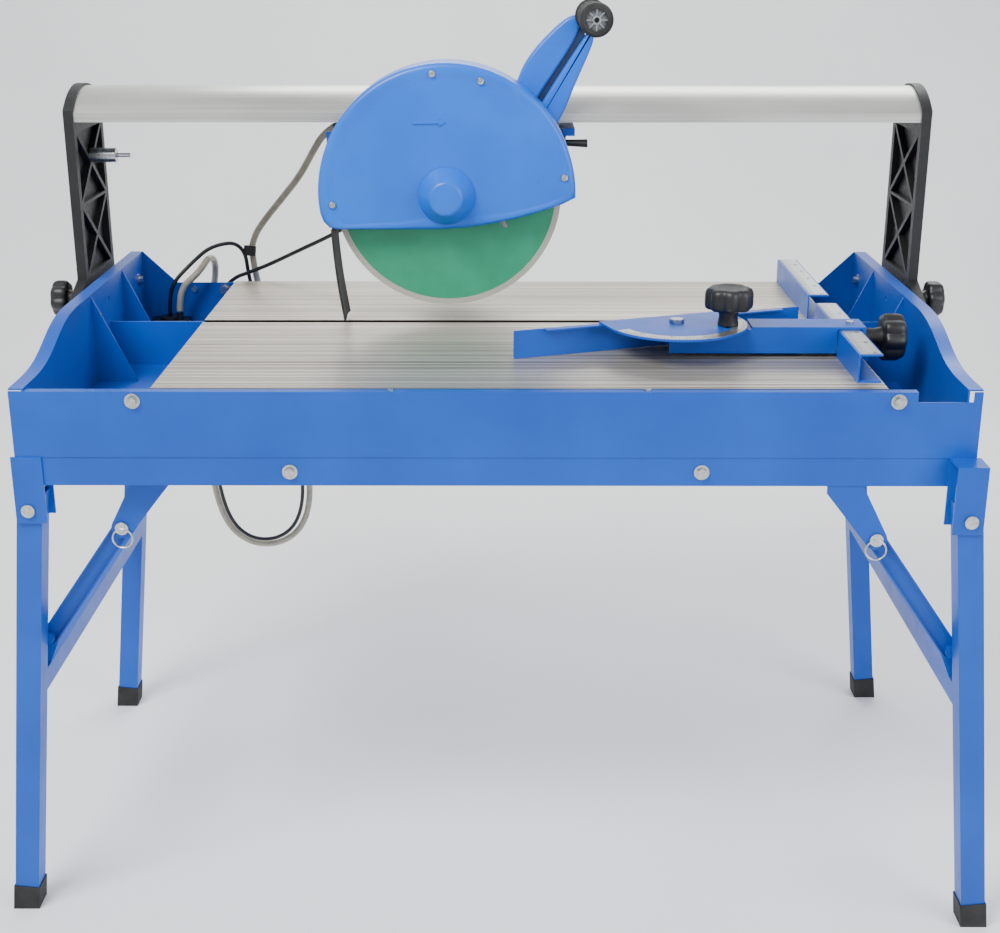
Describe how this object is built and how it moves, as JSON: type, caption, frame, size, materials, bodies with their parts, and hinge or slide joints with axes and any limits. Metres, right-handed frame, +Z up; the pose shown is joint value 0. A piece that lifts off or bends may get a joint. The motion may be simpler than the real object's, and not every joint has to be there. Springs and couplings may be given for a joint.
{
  "type": "wet tile saw",
  "caption": "Bridge wet tile saw: water tray on folding splayed legs, slotted aluminium table, tilting bridge, sliding motor head with round blade guard and angle fence.",
  "frame": {"origin": "on the floor, under the middle of the machine's overall box", "axes": "+X along the bridge to the operator's right, +Y away from the operator to the rear, +Z up"},
  "size_m": [1.2448, 0.7, 1.118],
  "materials": {
    "blue_powder_coat": "satin powder coat",
    "anodised_aluminium": "satin extruded and anodised",
    "zinc_steel": "zinc plated",
    "black_casting": "textured black paint on a casting",
    "black_plastic": "moulded",
    "black_rubber": "matte",
    "grey_hose": "matte, slightly translucent",
    "green_enamel": "satin",
    "diamond_rim": "sintered grit"
  },
  "bodies": {
    "root": {"tray_pan": "blue_powder_coat", "left_end_wall": "blue_powder_coat", "right_end_wall": "blue_powder_coat", "end_gussets": "blue_powder_coat", "tray_beams": "blue_powder_coat", "front_planks": "anodised_aluminium", "rear_planks": "anodised_aluminium", "stop_rail": "blue_powder_coat", "frame_bolts": "zinc_steel", "drain_plug": "black_plastic", "pump": "black_plastic", "frame_rails": "blue_powder_coat", "leg_sleeves": "blue_powder_coat", "brace_brackets": "blue_powder_coat", "tilt_pivots": "zinc_steel", "hose_lower": "grey_hose", "cable_lower": "black_rubber"},
    "left_leg_frame": {"left_legs": "blue_powder_coat", "left_crossbar": "blue_powder_coat", "left_feet": "black_rubber"},
    "left_brace_pair": {"left_braces": "blue_powder_coat"},
    "right_leg_frame": {"right_legs": "blue_powder_coat", "right_crossbar": "blue_powder_coat", "right_feet": "black_rubber"},
    "right_brace_pair": {"right_braces": "blue_powder_coat"},
    "fence": {"fence_arm": "blue_powder_coat", "fence_pivot_bolt": "zinc_steel"},
    "protractor": {"fence_protractor": "blue_powder_coat", "fence_bar": "blue_powder_coat"},
    "fence_star_knob": {"fence_knob": "black_plastic"},
    "fence_end_knob": {"fence_clamp_knob": "black_plastic"},
    "bridge": {"left_post": "black_casting", "right_post": "black_casting", "bridge_rail": "anodised_aluminium", "post_bolts": "zinc_steel", "transport_stop": "zinc_steel", "hose_upper": "grey_hose", "cable_upper": "black_rubber"},
    "left_knob": {"left_tilt_knob": "black_plastic"},
    "right_knob": {"right_tilt_knob": "black_plastic"},
    "carriage": {"carriage_plate": "blue_powder_coat", "carriage_rollers": "zinc_steel", "plunge_pin": "zinc_steel"},
    "lever": {"lock_lever": "black_plastic"},
    "head": {"head_plate": "blue_powder_coat", "guard_shell": "blue_powder_coat", "guard_cover": "blue_powder_coat", "splash_flap": "black_rubber", "handle_arm": "blue_powder_coat", "handle_grip": "black_plastic", "motor_housing": "black_casting", "motor_end_cover": "black_casting", "motor_stator": "zinc_steel", "motor_bearings": "zinc_steel", "switch_box": "black_plastic"},
    "rocker": {"rocker_switch": "black_plastic"},
    "blade": {"blade_core": "green_enamel", "blade_rim": "diamond_rim", "arbor_flanges": "zinc_steel", "motor_rotor": "zinc_steel"}
  },
  "joints": [
    {"name": "bridge_tilt", "type": "hinge", "parent": "root", "child": "bridge", "pos_m": [0, 0.05, 0.695], "axis": [1, 0, 0], "range_deg": [0, 45], "deforming": ["hose_lower", "cable_lower", "hose_upper", "cable_upper"]},
    {"name": "carriage_slide", "type": "slide", "parent": "bridge", "child": "carriage", "axis": [1, 0, 0], "range_m": [-0.28, 0.44], "deforming": ["hose_upper", "cable_upper"]},
    {"name": "head_plunge", "type": "hinge", "parent": "carriage", "child": "head", "pos_m": [-0.215, 0, 0.91], "axis": [0, 1, 0], "range_deg": [0, 12], "deforming": ["splash_flap"]},
    {"name": "blade_spin", "type": "hinge", "parent": "head", "child": "blade", "pos_m": [-0.065, 0.05, 0.8695], "axis": [0, 1, 0], "continuous": true},
    {"name": "fence_travel", "type": "slide", "parent": "root", "child": "fence", "axis": [0, 1, 0], "range_m": [-0.08, 0]},
    {"name": "fence_angle", "type": "hinge", "parent": "fence", "child": "protractor", "pos_m": [0.225, -0.115, 0.695], "axis": [0, 0, 1], "range_deg": [-20, 6]},
    {"name": "star_knob_turn", "type": "hinge", "parent": "fence", "child": "fence_star_knob", "pos_m": [0.287, -0.127, 0.7], "axis": [0, 0, 1], "range_deg": [0, 180]},
    {"name": "clamp_knob_turn", "type": "hinge", "parent": "fence", "child": "fence_end_knob", "pos_m": [0.454, -0.115, 0.715], "axis": [1, 0, 0], "range_deg": [0, 180]},
    {"name": "left_knob_turn", "type": "hinge", "parent": "root", "child": "left_knob", "pos_m": [-0.56, 0.114, 0.712], "axis": [1, 0, 0], "range_deg": [0, 180]},
    {"name": "right_knob_turn", "type": "hinge", "parent": "root", "child": "right_knob", "pos_m": [0.56, 0.114, 0.712], "axis": [1, 0, 0], "range_deg": [0, 180]},
    {"name": "left_fold", "type": "hinge", "parent": "root", "child": "left_leg_frame", "pos_m": [-0.548, 0, 0.55], "axis": [0, -1, 0], "range_deg": [0, 84]},
    {"name": "left_brace_fold", "type": "hinge", "parent": "left_leg_frame", "child": "left_brace_pair", "pos_m": [-0.553, 0, 0.366], "axis": [0, -1, 0], "range_deg": [0, 42.1]},
    {"name": "right_fold", "type": "hinge", "parent": "root", "child": "right_leg_frame", "pos_m": [0.548, 0, 0.55], "axis": [0, 1, 0], "range_deg": [0, 84]},
    {"name": "right_brace_fold", "type": "hinge", "parent": "right_leg_frame", "child": "right_brace_pair", "pos_m": [0.553, 0, 0.366], "axis": [0, 1, 0], "range_deg": [0, 42.1]},
    {"name": "lock_lever_turn", "type": "hinge", "parent": "carriage", "child": "lever", "pos_m": [0.085, 0.124, 0.93], "axis": [0, 0, 1], "range_deg": [0, 60]},
    {"name": "rocker_press", "type": "hinge", "parent": "head", "child": "rocker", "pos_m": [0.018, 0.204, 0.869], "axis": [1, 0, 0], "range_deg": [-7, 7]}
  ],
  "couplings": [
    {"joint": "left_brace_fold", "follows": "left_fold", "ratio": 0.5},
    {"joint": "right_brace_fold", "follows": "right_fold", "ratio": 0.5}
  ]
}
